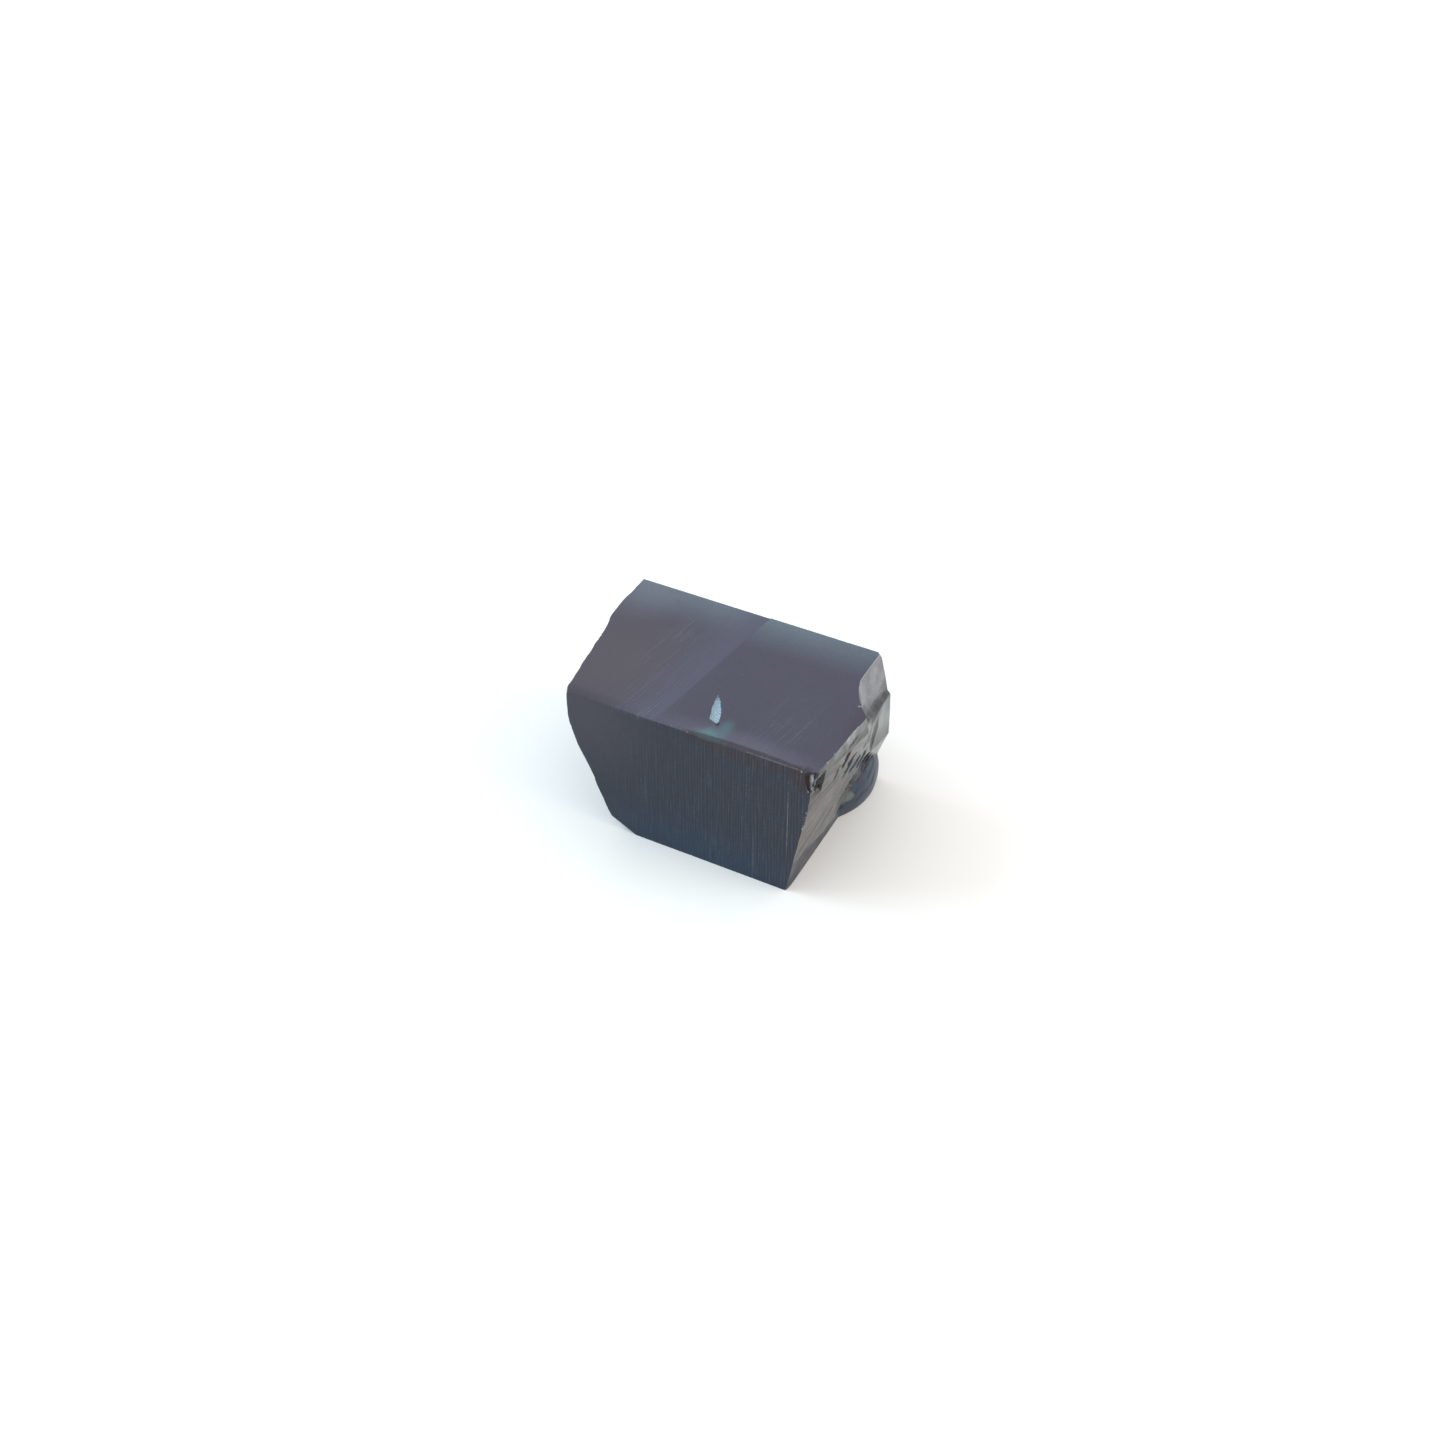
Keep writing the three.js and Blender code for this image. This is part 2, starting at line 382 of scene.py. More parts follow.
def startGroup(name, inputs, outputs):
    tree = bpy.data.node_groups.new(name, "ShaderNodeTree")
    for label, kind, value in inputs:
        socket = tree.interface.new_socket(label, in_out="INPUT", socket_type="NodeSocket" + kind)
        if value is not None:
            socket.default_value = value
    for label, kind in outputs:
        tree.interface.new_socket(label, in_out="OUTPUT", socket_type="NodeSocket" + kind)
    return tree, tree.nodes.new("NodeGroupInput").outputs, tree.nodes.new("NodeGroupOutput").inputs


def makePlaceGroup():
    # where a point is on the block, in mm from its lower front right corner
    tree, _, out = startGroup("stonePlace", [], [("Place", "Vector")])
    spot = addNode(tree, "TexCoord")["Object"]
    scaled = addNode(tree, "VectorMath", {0: spot, "Scale": 1 / mm}, operation="SCALE")[0]
    place = addNode(tree, "VectorMath", {0: scaled, 1: (cornerX, cornerY, 0)}, operation="SUBTRACT")[0]
    tree.links.new(place, out["Place"])
    return tree


def makePatchGroup():
    # a soft-edged patch with a ragged outline
    inputs = [("Place", "Vector", None), ("Middle", "Vector", (0, 0, 0)), ("Size", "Vector", (1, 1, 1)),
              ("Edge", "Float", 0.5), ("Stray", "Float", 0)]
    tree, given, out = startGroup("softPatch", inputs, [("Mask", "Float")])
    off = addNode(tree, "VectorMath", {0: given["Place"], 1: given["Middle"]}, operation="SUBTRACT")[0]
    scaled = addNode(tree, "VectorMath", {0: off, 1: given["Size"]}, operation="DIVIDE")[0]
    away = addNode(tree, "VectorMath", {0: scaled}, operation="LENGTH")["Value"]
    away = doMath(tree, "ADD", away, given["Stray"])
    inner = doMath(tree, "SUBTRACT", 1, given["Edge"])
    tree.links.new(ramp(tree, away, 1, inner), out["Mask"])
    return tree


def stretchedNoise(tree, across, along, stretch, settings):
    # noise drawn out along the saw's way
    spot = {0: doMath(tree, "MULTIPLY", across, stretch[0]), 1: doMath(tree, "MULTIPLY", along, stretch[1]),
            2: stretch[2]}
    return addNode(tree, "TexNoise", {"Vector": addNode(tree, "CombineXYZ", spot)[0], **settings})[0]


sawLineNoise = {
    # each noise's stretch across and along the saw's way, its layer, and its own settings
    "sway": ((0.8, 0.06, 0), {"Scale": 1, "Detail": 2}), "swayBy": 3,
    "strand": ((7, 0.35, 0), {"Scale": 1, "Detail": 3, "Roughness": 0.6}),
    "strandEdge": (0.5, 0.72), "strandShare": 0.6,
    "bold": ((3.1, 0.07, 9), {"Scale": 1.7, "Detail": 1}),
    "boldEdge": (0.66, 0.76), "boldShare": 0.9,      # a rare bolder line
    "waveEdge": (0.2, 1), "waveShare": 0.32,         # the even pitch of the main marks
    "breaks": {"Scale": 6, "Detail": 3}, "breaksEdge": (0.35, 0.7),
}


def makeMarksGroup():
    # saw marks: fine broken lines that run with the saw
    s = sawLineNoise
    inputs = [("Place", "Vector", None), ("Pitch", "Float", 0.2), ("Ragged", "Float", 0.5)]
    tree, given, out = startGroup("sawLines", inputs, [("Lines", "Float")])
    part = addNode(tree, "SeparateXYZ", {0: given["Place"]})
    across = doMath(tree, "MULTIPLY_ADD", part["Y"], -passSlant, part["X"])
    along = doMath(tree, "ADD", part["Y"], part["Z"])
    sway = stretchedNoise(tree, across, along, *s["sway"])
    phase = doMath(tree, "MULTIPLY_ADD", sway, s["swayBy"], doMath(tree, "DIVIDE", across, given["Pitch"]))
    wave = doMath(tree, "COSINE", doMath(tree, "MULTIPLY", phase, 2 * math.pi))
    wave = ramp(tree, wave, *s["waveEdge"], 0, s["waveShare"])
    strand = stretchedNoise(tree, across, along, *s["strand"])
    lines = doMath(tree, "MULTIPLY_ADD", ramp(tree, strand, *s["strandEdge"]), s["strandShare"], wave)
    bold = stretchedNoise(tree, across, along, *s["bold"])
    lines = doMath(tree, "MULTIPLY_ADD", ramp(tree, bold, *s["boldEdge"]), s["boldShare"], lines)
    breaks = addNode(tree, "TexNoise", {"Vector": given["Place"], **s["breaks"]})[0]
    breaks = ramp(tree, breaks, *s["breaksEdge"])
    unbroken = addNode(tree, "Mix", {0: given["Ragged"], 2: 1.0, 3: breaks})[0]
    tree.links.new(doMath(tree, "MULTIPLY", lines, unbroken), out["Lines"])
    return tree


grainNoise = {
    "detail": 3,
    "cellScale": 5,
    "speckled": 0.86,            # cells above this hold a speck
    "speckEdge": (0.13, 0.05),
}


def makeGrainGroup():
    # fine frosted grain left by the saw's grit, and scattered bright specks
    s = grainNoise
    tree, given, out = startGroup("frost", [("Place", "Vector", None), ("Scale", "Float", 14)],
                                  [("Grain", "Float"), ("Specks", "Float")])
    fine = {"Vector": given["Place"], "Scale": given["Scale"], "Detail": s["detail"]}
    fine = addNode(tree, "TexNoise", fine)[0]
    cells = addNode(tree, "TexVoronoi", {"Vector": given["Place"], "Scale": s["cellScale"]}, feature="F1")
    pick = addNode(tree, "SeparateXYZ", {0: cells["Color"]})["X"]
    pick = doMath(tree, "GREATER_THAN", pick, s["speckled"])
    specks = doMath(tree, "MULTIPLY", ramp(tree, cells["Distance"], *s["speckEdge"]), pick)
    tree.links.new(fine, out["Grain"])
    tree.links.new(specks, out["Specks"])
    return tree


stonePlace = makePlaceGroup()
softPatch = makePatchGroup()
sawLines = makeMarksGroup()
frost = makeGrainGroup()


crystal = {
    "ior": 1.746,
    "absorbColour": (0.42, 0.52, 0.58, 1),
    "absorbDensity": 1000,
}

sawnLook = {
    "roughness": 0.42,
    "transmission": 0.7,
    "glint": (0.4, 0.42, 0.45, 1),     # tint of the surface's own reflection
    "body": (0.014, 0.026, 0.07, 1),
    "lines": (0.42, 0.48, 0.62, 1),
    "pass": (0.195, 0.2, 0.33, 1),     # the band beside the slanting line
    "passStrength": 0.9,
    "passFade": 3.5,
    "passLow": 0.12,                   # how far below the top the band reaches
    "linePitch": 0.2,
    "lineRagged": 0.6,
    "lineTint": 0.3,
    "grainTone": (0.85, 1.15),
    "speckTint": 0.4,
    "bumpStrength": 0.5,
    "bumpHeight": 0.01 * mm,
    "zones": [   # middle, size, soft edge, ragged, colour, strength
        # the top: its own colour, painted lighter as well for the sky it reflects
        ((-6, 6, 10.2), (60, 60, 0.14), 0.4, 0, (0.145, 0.14, 0.23, 1), 1.0),
        ((-14, 4, 10.18), (7, 8, 0.2), 0.95, 0.03, (0.20, 0.17, 0.21, 1), 0.9),
        # teal along the back edge and the left back corner: the stone's own teal, painted brighter as light
        # coming through near the edge
        ((-7, 13.4, 10.18), (22, 4.9, 0.25), 0.95, 0.03, (0.36, 0.50, 0.62, 1), 0.85),
        ((-15.8, 11.8, 10.16), (4.5, 4.5, 0.25), 0.95, 0.03, (0.36, 0.42, 0.54, 1), 0.7),
        ((-3.5, 0.2, 10.2), (8, 1.7, 0.15), 0.9, 0.05, (0.28, 0.28, 0.40, 1), 0.8),
        ((-5.35, 0.1, 10.2), (1.35, 1.15, 0.3), 0.85, 0.08, (0.26, 0.54, 0.62, 1), 0.95),
        ((-4.8, 1.25, 10.2), (0.6, 1.15, 0.3), 0.9, 0.1, (0.17, 0.37, 0.46, 1), 0.85),
        # painted shade of a small pit beside the flake's front end
        ((-5.4, 1.42, 10.2), (0.13, 0.2, 0.2), 0.6, 0.2, (0.005, 0.02, 0.04, 1), 0.95),
        ((2.0, 6.5, 10.2), (1.1, 5, 0.3), 0.9, 0.05, (0.14, 0.09, 0.16, 1), 0.7),
        ((-2.8, -0.1, 10.35), (5.2, 0.6, 1.35), 0.3, 0.06, (0.035, 0.012, 0.03, 1), 0.75),
        ((1.0, 0, 9.5), (1.15, 0.8, 1.15), 0.7, 0.15, (0.03, 0.002, 0.008, 1), 1.0),
        # painted highlight along the top front edge
        ((-0.7, 0, 10.2), (3.4, 0.05, 0.06), 0.6, 0.6, (0.5, 0.5, 0.56, 1), 0.45),
        ((-14, 0, 9.5), (6, 1, 7), 0.9, 0.05, (0.095, 0.085, 0.14, 1), 0.8),
        ((-6, 0, 0), (12, 1, 4.5), 0.95, 0.05, (0.015, 0.08, 0.19, 1), 0.7),
        ((0.0, 0, 5.7), (0.03, 0.3, 3.6), 0.7, 0.45, (0.55, 0.6, 0.68, 1), 0.8),
    ],
    "marked": [   # where the saw lines show: middle, size, soft edge, ragged, strength
        ((-1, -0.2, 4), (9, 1.2, 12), 0.5, 0.1, 0.9),
        ((-8, -0.2, 4), (6, 1.2, 12), 0.8, 0.1, 0.5),
        ((-10.5, 5, 10.2), (3.6, 12, 0.6), 0.8, 0.1, 1.6),
        ((-9.6, 1.4, 10.2), (2.0, 3.0, 0.6), 0.8, 0.2, 2.6),
        ((-1.6, 3.5, 10.2), (2.6, 4.5, 0.6), 0.9, 0.2, 1.5),
        ((-2.4, 1.2, 10.2), (1.6, 1.6, 0.6), 0.8, 0.2, 2.2),
        ((-8, 12.3, 4), (14, 1.2, 12), 0.3, 0.1, 0.8),
        ((-8, 6, 0), (14, 12, 0.6), 0.3, 0.1, 0.8),
    ],
}

breakShares = ("frostAndLight", "deepness", "highlightAndWhiteEdgeShare")   # painted on the stone's points, 0 to 1

breakLook = {
    "roughness": 0.21,
    "frostedRoughness": 0.18,
    "deepRoughness": 0.38,
    "transmission": 0.6,
    "glint": (0.2, 0.2, 0.21, 1),
    "uneven": (0.8, 1.2),              # slow swings of the colour and the gloss
    # white of the painted highlights along the rims and of the edges beside the first slivers
    "highlightAndWhiteEdge": (0.8, 0.84, 0.9, 1),
    "clear": {
        "body": (0.045, 0.045, 0.055, 1),
        "zones": [
            ((0.8, 1.0, 5.6), (1.6, 4.2, 4.6), 0.95, 0.1, (0.1, 0.064, 0.07, 1), 1.0),
            ((0.8, -0.1, 4), (1.2, 0.5, 5), 0.95, 0.15, (0.45, 0.25, 0.14, 1), 0.75),
        ],
    },
    # the frosted break; on the right end painted paler as well for the light its upper facets reflect and let
    # through
    "frostedAndLit": {
        "body": (0.17, 0.19, 0.195, 1),
        "zones": [
            # painted highlight on the upper lip facet under the top edge
            ((1.8, 3.2, 9.8), (1.4, 4.2, 0.9), 0.8, 0.15, (0.55, 0.59, 0.62, 1), 1.0),
            # the scoop, painted paler for the light it reflects and lets through from the thin back corner
            ((1.0, 11, 9.3), (1.6, 4.2, 2.2), 0.7, 0.1, (0.44, 0.445, 0.51, 1), 1.0),
            # the back facet, painted pale green for light coming through the stone
            ((1.5, 11.4, 5.8), (1.6, 2.0, 2.2), 0.95, 0.1, (0.44, 0.49, 0.51, 1), 1.0),
            ((0.5, 7.8, 1.5), (1.2, 1.0, 0.8), 0.5, 0.2, (0.24, 0.29, 0.29, 1), 1.0),
            # painted shade along the crease of the long step below the scoop and the back facet
            ((1.0, 11, 7.42), (1.6, 3.2, 0.26), 0.9, 0.1, (0.2, 0.2, 0.22, 1), 0.8),
            ((1.2, 8.3, 7.75), (1.6, 0.9, 0.3), 0.8, 0.1, (0.07, 0.07, 0.085, 1), 0.8),
        ],
    },
    "deep": {
        "body": (0.095, 0.125, 0.195, 1),
        "zones": [
            ((1.2, 0.2, 9.0), (1.4, 1.6, 1.9), 0.4, 0.15, (0.03, 0.004, 0.008, 1), 1.0),
            ((0.2, 2.5, 0.1), (1.2, 5.5, 2.9), 0.6, 0.1, (0.05, 0.045, 0.075, 1), 0.9),
            ((0.9, 7.5, 3.1), (1.2, 1.3, 0.6), 0.9, 0.2, (0.01, 0.02, 0.035, 1), 1.0),
        ],
    },
}

scarLook = {
    "roughness": 0.45,
    "transmission": 0.25,
    "glint": (1, 1, 1, 1),
    "grainScale": 9,
    "body": (0.20, 0.33, 0.43, 1),
    "powder": (0.36, 0.49, 0.58, 1),
}

chipLook = {
    "roughness": 0.3,
    "transmission": 0.3,
    "glint": (1, 1, 1, 1),
    "grainScale": 9,
    "body": (0.36, 0.39, 0.44, 1),
    "powder": (0.8, 0.84, 0.9, 1),
}


def startCrystal(name, look):
    material = bpy.data.materials.new(name)
    material.use_nodes = True
    tree = material.node_tree
    shader = tree.nodes["Principled BSDF"].inputs
    shader["IOR"].default_value = crystal["ior"]
    shader["Transmission Weight"].default_value = look["transmission"]
    shader["Specular Tint"].default_value = look["glint"]
    shader["Roughness"].default_value = look["roughness"]
    tint = {"Color": crystal["absorbColour"], "Density": crystal["absorbDensity"]}
    tree.links.new(addNode(tree, "VolumeAbsorption", tint)[0], tree.nodes["Material Output"].inputs["Volume"])
    return material, tree, shader, placeIn(tree, stonePlace)["Place"]


def placeIn(tree, group, inputs=None):
    return addNode(tree, "Group", inputs, node_tree=group)


def patchMask(tree, place, stray, middle, size, edge, ragged):
    stray = doMath(tree, "MULTIPLY", stray, ragged)
    patch = {"Place": place, "Middle": middle, "Size": size, "Edge": edge, "Stray": stray}
    return placeIn(tree, softPatch, patch)["Mask"]


def strayNoise(tree, place):
    # what makes the outlines of the patches ragged, -2 to 2
    noise = addNode(tree, "TexNoise", {"Vector": place, "Scale": 1.6, "Detail": 4})[0]
    return doMath(tree, "MULTIPLY_ADD", noise, 4, -2)


def zoneColour(tree, place, stray, look):
    colour = look["body"]
    for middle, size, edge, ragged, tint, strength in look["zones"]:
        mask = patchMask(tree, place, stray, middle, size, edge, ragged)
        colour = blendColour(tree, doMath(tree, "MULTIPLY", mask, strength), colour, tint)
    return colour


def scaleColour(tree, colour, amount):
    return addNode(tree, "VectorMath", {0: colour, "Scale": amount}, operation="SCALE")[0]


def passMask(tree, place):
    # the paler band on the top beside the line where one saw pass ended
    part = addNode(tree, "SeparateXYZ", {0: place})
    across = doMath(tree, "MULTIPLY_ADD", part["Y"], -passSlant, part["X"])
    band = ramp(tree, across, block["passFrontX"] - sawnLook["passFade"], block["passFrontX"])
    band = doMath(tree, "MULTIPLY", band, doMath(tree, "LESS_THAN", across, block["passFrontX"]))
    top = doMath(tree, "GREATER_THAN", part["Z"], height - sawnLook["passLow"])
    return doMath(tree, "MULTIPLY", doMath(tree, "MULTIPLY", band, top), sawnLook["passStrength"])


def sawnCrystal():
    look = sawnLook
    material, tree, shader, place = startCrystal("sawn crystal", look)
    stray = strayNoise(tree, place)
    colour = zoneColour(tree, place, stray, look)
    colour = blendColour(tree, passMask(tree, place), colour, look["pass"])
    lines = {"Place": place, "Pitch": look["linePitch"], "Ragged": look["lineRagged"]}
    lines = placeIn(tree, sawLines, lines)["Lines"]
    shown = 0.0
    for middle, size, edge, ragged, strength in look["marked"]:
        mask = patchMask(tree, place, stray, middle, size, edge, ragged)
        shown = doMath(tree, "MAXIMUM", shown, doMath(tree, "MULTIPLY", mask, strength))
    lines = doMath(tree, "MULTIPLY", lines, shown)
    grain = placeIn(tree, frost, {"Place": place})
    colour = blendColour(tree, doMath(tree, "MULTIPLY", lines, look["lineTint"]), colour, look["lines"])
    colour = scaleColour(tree, colour, ramp(tree, grain["Grain"], 0.3, 0.7, *look["grainTone"]))
    specks = doMath(tree, "MULTIPLY", grain["Specks"], look["speckTint"])
    colour = blendColour(tree, specks, colour, look["lines"])
    tree.links.new(colour, shader["Base Color"])
    heights = doMath(tree, "MULTIPLY_ADD", grain["Grain"], 0.5, lines)
    bump = {"Height": heights, "Strength": look["bumpStrength"], "Distance": look["bumpHeight"]}
    tree.links.new(addNode(tree, "Bump", bump)[0], shader["Normal"])
    return material


def brokenCrystal():
    # a broken face, where the shares painted on the stone say how much frost and painted light, deep crystal,
    # and painted highlight and white edge it has
    look = breakLook
    material, tree, shader, place = startCrystal("broken crystal", look)
    stray = strayNoise(tree, place)
    shares = [addNode(tree, "Attribute", attribute_name=name)["Fac"] for name in breakShares]
    frostAndLight, deepShare, highlightAndWhiteEdge = shares
    colour = zoneColour(tree, place, stray, look["clear"])
    colour = blendColour(tree, frostAndLight, colour, zoneColour(tree, place, stray, look["frostedAndLit"]))
    colour = blendColour(tree, deepShare, colour, zoneColour(tree, place, stray, look["deep"]))
    swell = addNode(tree, "TexNoise", {"Vector": place, "Scale": 1.1, "Detail": 3})[0]
    swell = ramp(tree, swell, 0.3, 0.7, *look["uneven"])
    colour = scaleColour(tree, colour, swell)
    colour = blendColour(tree, highlightAndWhiteEdge, colour, look["highlightAndWhiteEdge"])
    tree.links.new(colour, shader["Base Color"])
    rough = ramp(tree, frostAndLight, 0, 1, look["roughness"], look["frostedRoughness"])
    rough = ramp(tree, deepShare, 0, 1, rough, look["deepRoughness"])
    tree.links.new(doMath(tree, "MULTIPLY", rough, swell), shader["Roughness"])
    return material


def scarredCrystal(name, look):
    # powdery bruised crystal where a flake or chip popped off
    material, tree, shader, place = startCrystal(name, look)
    grain = placeIn(tree, frost, {"Place": place, "Scale": look["grainScale"]})["Grain"]
    colour = blendColour(tree, ramp(tree, grain, 0.35, 0.65), look["body"], look["powder"])
    tree.links.new(colour, shader["Base Color"])
    return material


sawn = sawnCrystal()
broken = brokenCrystal()
scarred = scarredCrystal("bruised crystal", scarLook)
chipped = scarredCrystal("chipped crystal", chipLook)
stoneFinishes = [sawn, broken, scarred, chipped]
print("finishes ready")


def finishedMesh(name, points, faces, finish):
    mesh = bpy.data.meshes.new(name)
    mesh.from_pydata((np.asarray(points) * mm).tolist(), [], faces)
    for slot in stoneFinishes:
        mesh.materials.append(slot)
    mesh.polygons.foreach_set("material_index", [stoneFinishes.index(finish)] * len(faces))
    bm = bmesh.new()
    bm.from_mesh(mesh)
    bmesh.ops.recalc_face_normals(bm, faces=bm.faces)
    bm.to_mesh(mesh)
    bm.free()
    piece = bpy.data.objects.new(name, mesh)
    bpy.context.scene.collection.objects.link(piece)
    return piece


def wasteBlock(name, points, axis, outer, finish):
    # closed block with one shaped side, given as rows of points, and a flat side at outer on that axis
    rows, columns = points.shape[:2]
    index = np.arange(rows * columns).reshape(rows, columns)
    rim = np.concatenate([index[0, :-1], index[:-1, -1], index[-1, :0:-1], index[:0:-1, 0]])
    flat = points.reshape(-1, 3)
    outerRim = flat[rim].copy()
    outerRim[:, axis] = outer
    quads = np.stack([index[:-1, :-1], index[1:, :-1], index[1:, 1:], index[:-1, 1:]], -1).reshape(-1, 4)
    ring = np.arange(len(rim)) + rows * columns
    walls = np.stack([rim, np.roll(rim, -1), np.roll(ring, -1), ring], -1)
    faces = quads.tolist() + walls.tolist() + [ring[::-1].tolist()]
    return finishedMesh(name, np.concatenate([flat, outerRim]), faces, finish)


def gridOver(firstStart, firstEnd, firstCount, secondEnd, secondCount, crowd=1):
    # evenly spaced, or crowded towards the start of the first and the end of the second
    spare = block["spare"]
    first = firstStart - spare + (firstEnd - firstStart + 2 * spare) * np.linspace(0, 1, firstCount) ** crowd
    second = secondEnd + spare - (secondEnd + 2 * spare) * np.linspace(1, 0, secondCount) ** crowd
    return np.meshgrid(first, second, indexing="ij")


def endWaste():
    left, right = block["barLeft"] - block["wasteThick"], block["barRight"] + block["wasteThick"]
    step = block["endStep"]
    y, z = gridOver(0, depth, int(depth / step), height, int(height / step), block["crowd"])
    yield wasteBlock("right waste", np.stack([rightEnd(y, z), y, z], -1), 0, right, broken)
    step = block["leftStep"]
    y, z = gridOver(0, depth, int(depth / step), height, int(height / step))
    yield wasteBlock("left waste", np.stack([leftEnd(y, z), y, z], -1), 0, left, broken)


def sawWaste():
    s = sawMarks
    left, right, thick = block["barLeft"], block["barRight"], block["wasteThick"]
    count, rows = int((right - left) / block["markStep"]), block["markRows"]
    x, z = gridOver(left, right, count, height, rows)
    cut = markDepth(x, z, 61) * (s["frontWorn"] + s["frontGains"] * smoothStep(x, *s["frontFade"]))
    yield wasteBlock("front waste", np.stack([x, cut, z], -1), 1, -thick, sawn)
    cut = depth - markDepth(x, z, 71)
    yield wasteBlock("back waste", np.stack([x, cut, z], -1), 1, depth + thick, sawn)
    # the top's marks run with the slanting line between its two saw passes
    across, y = gridOver(left, right, count, depth, rows)
    deeper = across < block["passFrontX"]
    gains = s["bandGains"] * smoothStep(across, *s["bandFade"])
    strength = np.where(deeper, s["topShare"] + gains, s["topShare"])
    cut = height - markDepth(across, y, 81) * strength - block["passDrop"] * deeper
    yield wasteBlock("top waste", np.stack([across + passSlant * y, y, cut], -1), 2, height + thick, sawn)
    x, y = gridOver(left, right, count // 3, depth, rows)
    cut = markDepth(x, y, 91) * s["baseShare"]
    yield wasteBlock("base waste", np.stack([x, y, cut], -1), 2, -thick, sawn)


flake = {
    # outline on the top, from the slanted front end round to the tip at the back
    "left": [(-6.08, 1.62), (-6.32, 2.3), (-6.5, 2.95), (-6.68, 3.85)],
    "right": [(-5.5, 1.42), (-5.5, 1.95), (-6.0, 3.0), (-6.66, 3.87)],
    "rows": 90, "columns": 31,
    "deep": 0.09,
    "lip": 0.02,             # how far its rim starts above the top
    "rungs": 11, "rungDeep": 0.02,
    "teeth": 0.035, "toothStray": 0.02,
    "narrowest": 0.06,       # half width that the teeth are measured against at the tip
}


def curveThrough(spots, count):
    # smooth curve through a few (x, y) spots, evenly sampled by spot number
    spots = np.array(spots)
    t = np.linspace(0, len(spots) - 1, count)
    cubic = np.polyfit(np.arange(len(spots)), spots, len(spots) - 1)
    return np.stack([np.polyval(cubic[:, 0], t), np.polyval(cubic[:, 1], t)], -1)


def flakeWaste():
    # a blade-shaped flake popped off the top, with rungs across it and toothed sides
    s = flake
    rows = s["rows"]
    left, right = curveThrough(s["left"], rows), curveThrough(s["right"], rows)
    along = np.linspace(0, 1, rows)
    tooth = s["teeth"] * (0.5 + 0.5 * np.cos(along * 2 * math.pi * s["rungs"]))
    tooth = tooth + s["toothStray"] * softField(along * 12, along * 0, 5)
    share, row = np.meshgrid(np.linspace(-1, 1, s["columns"]), np.arange(rows))
    middle, half = (left + right) / 2, (right - left) / 2
    squeeze = (1 - tooth / np.maximum(np.hypot(half[:, 0], half[:, 1]), s["narrowest"]))[row]
    x = middle[row, 0] + half[row, 0] * share * squeeze
    y = middle[row, 1] + half[row, 1] * share * squeeze
    dip = np.sqrt(np.maximum(1 - share ** 4, 0))
    dip = dip * smoothStep(along, 0, 0.03)[row] * smoothStep(along, 1, 0.9)[row]
    rungs = s["rungDeep"] * np.cos((along[row] + 0.05 * share ** 2) * 2 * math.pi * s["rungs"]) * dip
    z = height + s["lip"] - (s["deep"] + s["lip"]) * dip + rungs
    return wasteBlock("flake waste", np.stack([x, y, z], -1), 2, height + 0.3, scarred)


nicks = {
    # small pits knocked out of edges and faces: place, size
    "placed": [
        ((-7.84, 0, 10.2), 0.08), ((-6.72, 0, 10.2), 0.07), ((-0.25, 0, 10.2), 0.1), ((0.75, 0, 10.2), 0.11),
        ((1.38, 0, 8.68), 0.13), ((1.3, 0, 8.13), 0.1), ((1.2, 0, 7.4), 0.06), ((1.05, 0, 6.3), 0.08),
        ((0.98, 0, 5.73), 0.09), ((1.15, 0, 9.3), 0.08),
        ((-7.0, 0, 9.37), 0.035), ((-11.04, 0, 7.04), 0.035), ((-8.48, 0, 5.98), 0.03),
        ((-7.52, 0, 5.28), 0.03), ((-3.49, 0, 6.95), 0.035), ((-1.12, 0, 8.21), 0.03),
        ((-3.73, 0, 0.56), 0.03), ((-6.17, 6.21, 10.2), 0.03),
        ((-1.79, 5.76, 10.2), 0.035), ((-0.22, 6.11, 10.2), 0.03), ((-0.57, 5.57, 10.2), 0.03),
        ((-8.95, 2.89, 10.15), 0.035), ((0.65, 3.62, 10.2), 0.035), ((1.3, 6.95, 10.2), 0.2),
        ((1.95, 5.6, 10.2), 0.06),
    ],
    "along": [    # start and end of each edge, how many
        ((-15, 0, 10.2), (1, 0, 10.2), 40), ((0.85, 0, 5), (1.4, 0, 8.2), 16),
        ((-16.5, 12.15, 10.2), (0.4, 12.15, 10.2), 26), ((-10.5, 0, 0), (0, 0, 0), 16),
        ((-15.1, 0, 10.15), (-16.5, 9.5, 10.15), 14), ((1.72, 0.5, 10.2), (2.1, 5.4, 10.2), 18),
        ((-11, 12.15, 0), (0.6, 12.15, 0), 14), ((0.45, 12.15, 10.2), (1.2, 12.15, 7.5), 6),
    ],
    "cluster": 10,               # chips tried at each place
    "chipShare": (0.35, 0.75),   # their sizes, against the place's size
    "deepest": 0.5,              # in radii; a chip deeper than this would be a bubble in the stone
    "smallest": 0.012,
    "largest": 0.06,
    "apart": 1.3,                # in radii, so that chips never touch
    "lumpy": (0.75, 1.25),
    "spotSeed": 19,
    "lumpSeed": 7,
}


def nickSpots():
    random = np.random.RandomState(nicks["spotSeed"])
    spots = []
    for spot, size in nicks["placed"]:
        for _ in range(nicks["cluster"]):
            chip = size * random.uniform(*nicks["chipShare"])
            place = np.array(spot) + random.uniform(-1, 1, 3) * size
            if min(place[1], height - place[2]) < nicks["deepest"] * chip:
                spots.append((tuple(place), chip))
    for start, end, count in nicks["along"]:
        for _ in range(count):
            t, toss = random.uniform(0, 1, 2)
            size = nicks["smallest"] + (nicks["largest"] - nicks["smallest"]) * toss ** 3
            spots.append((tuple(np.array(start) * (1 - t) + np.array(end) * t), size))
    kept = []
    for spot, size in spots:
        if all(math.dist(spot, other) > nicks["apart"] * (size + otherSize) for other, otherSize in kept):
            kept.append((spot, size))
    return kept


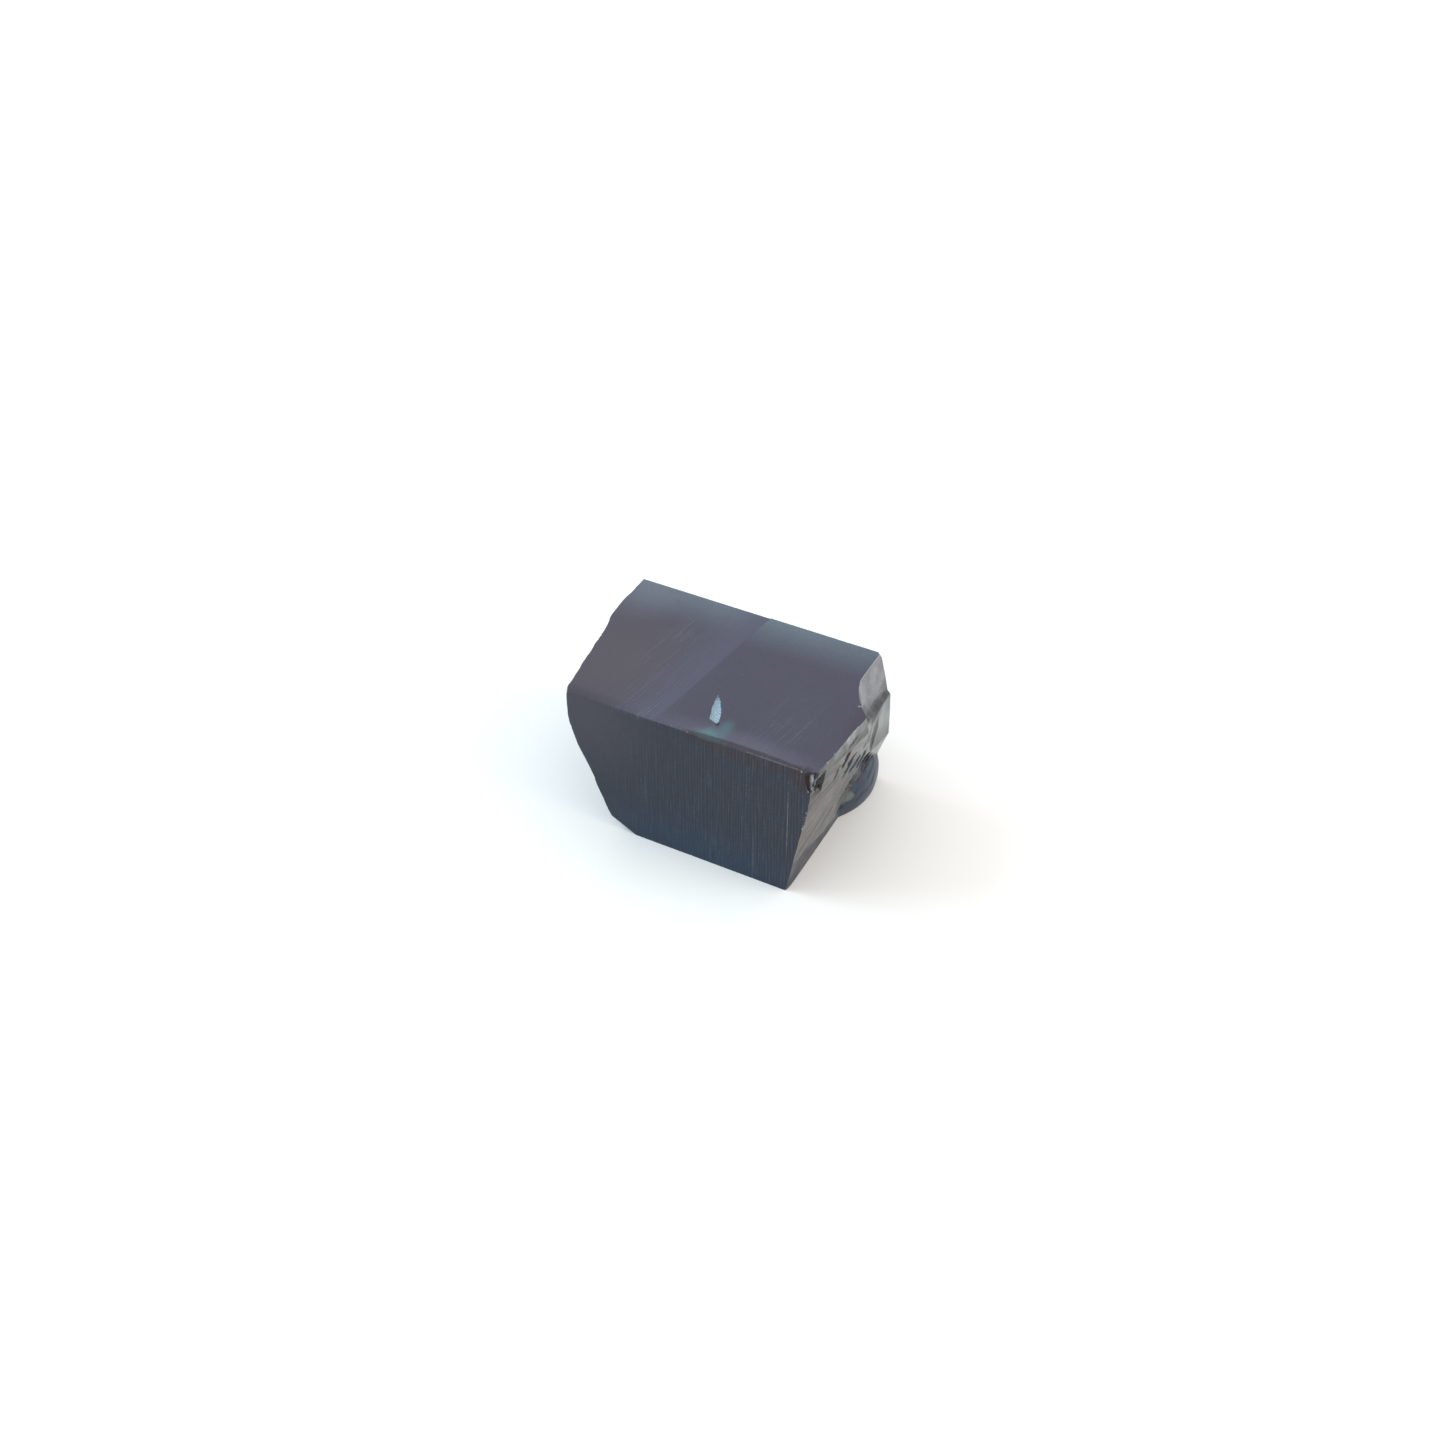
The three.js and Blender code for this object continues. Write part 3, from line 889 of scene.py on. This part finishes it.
def nickWaste():
    random = np.random.RandomState(nicks["lumpSeed"])
    bm = bmesh.new()
    for spot, size in nickSpots():
        for vert in bmesh.ops.create_icosphere(bm, subdivisions=1, radius=size)["verts"]:
            vert.co = vert.co * random.uniform(*nicks["lumpy"]) + Vector(spot)
    bm.verts.index_update()
    points = [vert.co[:] for vert in bm.verts]
    faces = [[vert.index for vert in face.verts] for face in bm.faces]
    bm.free()
    return finishedMesh("nick waste", points, faces, chipped)


def subtract(piece, cutter):
    change = piece.modifiers.new("cut", "BOOLEAN")
    change.operation = "DIFFERENCE"
    change.solver = "MANIFOLD"
    change.object = cutter
    bpy.context.view_layer.objects.active = piece
    bpy.ops.object.modifier_apply(modifier=change.name)
    bpy.data.objects.remove(cutter)


def paintBreaks(stone):
    # after the cutting, which would lose what is painted before it
    places = np.empty(3 * len(stone.data.vertices))
    stone.data.vertices.foreach_get("co", places)
    x, y, z = places.reshape(-1, 3).T / mm
    onRight = x > block["barLeft"] / 2
    shares = [np.where(onRight, *pair) for pair in zip(rightShares(y, z), leftShares(y, z))]
    for name, share in zip(breakShares, shares):
        stone.data.attributes.new(name, "FLOAT", "POINT").data.foreach_set("value", share)


def makeStone():
    spare = block["barSpare"]
    corners = [(x, y, z)
               for x in (block["barLeft"], block["barRight"])
               for y in (-spare, depth + spare)
               for z in (-spare, height + spare)]
    faces = [(0, 1, 3, 2), (4, 6, 7, 5), (0, 4, 5, 1), (2, 3, 7, 6), (0, 2, 6, 4), (1, 5, 7, 3)]
    stone = finishedMesh("alexandriteCrystal", corners, faces, sawn)
    for cutter in [*endWaste(), *sawWaste(), flakeWaste(), nickWaste()]:
        subtract(stone, cutter)
    paintBreaks(stone)
    stone.data.transform(Matrix.Translation(Vector((cornerX, cornerY, 0)) * mm))
    stone.data.polygons.foreach_set("use_smooth", [True] * len(stone.data.polygons))
    stone.data.set_sharp_from_angle(angle=math.radians(block["sharpAngle"]))
    return stone


stone = makeStone()
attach(stone, "root")
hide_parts("alexandrite")
print("stone cut:", len(stone.data.polygons), "faces")


studio = {
    "lens": 45.8, "sensor": 36,
    "right": 33.329, "front": 71.708, "height": 81.0,   # camera from the block's lower front right corner, mm
    "pitch": 40.5, "turn": 27.71,
    "skyStrength": 1.0,
    "lamps": [   # name, place and size in mm, power, colour
        ("cool key", (-230, -60, 160), (180, 180), 0.43, (0.6, 0.88, 1)),
        ("warm fill", (200, 30, 150), (140, 140), 0.17, (1, 0.9, 0.7)),
    ],
    "floorSize": 6,              # half its side, metres
    "floorRough": 0.9,
    "floorTone": 0.9,
    "floorFade": (0.08, 0.5),    # from here out it turns as white as the sky, metres
}


def makeFloor():
    side = studio["floorSize"]
    corners = [(-side, -side, 0), (side, -side, 0), (side, side, 0), (-side, side, 0)]
    mesh = bpy.data.meshes.new("floor")
    mesh.from_pydata(corners, [], [(0, 1, 2, 3)])
    floor = bpy.data.objects.new("floor", mesh)
    bpy.context.scene.collection.objects.link(floor)
    material = bpy.data.materials.new("white paper")
    material.use_nodes = True
    tree = material.node_tree
    spot = addNode(tree, "VectorMath", {0: addNode(tree, "TexCoord")["Object"]}, operation="LENGTH")["Value"]
    tone = ramp(tree, spot, *studio["floorFade"], studio["floorTone"], 1)
    shader = tree.nodes["Principled BSDF"]
    tree.links.new(tone, shader.inputs["Base Color"])
    shader.inputs["Roughness"].default_value = studio["floorRough"]
    shader.inputs["Specular IOR Level"].default_value = 0
    mesh.materials.append(material)


def softBox(name, spot, size, power, colour):
    light = bpy.data.lights.new(name, "AREA")
    light.shape = "RECTANGLE"
    light.size, light.size_y = size[0] * mm, size[1] * mm
    light.energy = power
    light.color = colour
    lamp = bpy.data.objects.new(name, light)
    lamp.location = Vector(spot) * mm
    lamp.rotation_euler = (-lamp.location).to_track_quat("-Z", "Y").to_euler()
    bpy.context.scene.collection.objects.link(lamp)


def makeLight():
    world = bpy.data.worlds.new("studio")
    world.use_nodes = True
    world.node_tree.nodes["Background"].inputs["Color"].default_value = (1, 1, 1, 1)
    world.node_tree.nodes["Background"].inputs["Strength"].default_value = studio["skyStrength"]
    bpy.context.scene.world = world
    for lamp in studio["lamps"]:
        softBox(*lamp)
    bpy.context.scene.view_settings.view_transform = "Standard"


def makeCamera():
    camera = bpy.data.cameras.new("camera")
    camera.lens = studio["lens"]
    camera.sensor_width = studio["sensor"]
    camera.clip_start = mm
    view = bpy.data.objects.new("camera", camera)
    view.location = Vector((cornerX + studio["right"], cornerY - studio["front"], studio["height"])) * mm
    view.rotation_euler = (math.radians(90 - studio["pitch"]), 0, math.radians(studio["turn"]))
    bpy.context.scene.collection.objects.link(view)
    bpy.context.scene.camera = view


makeFloor()
makeLight()
makeCamera()
print("studio ready")
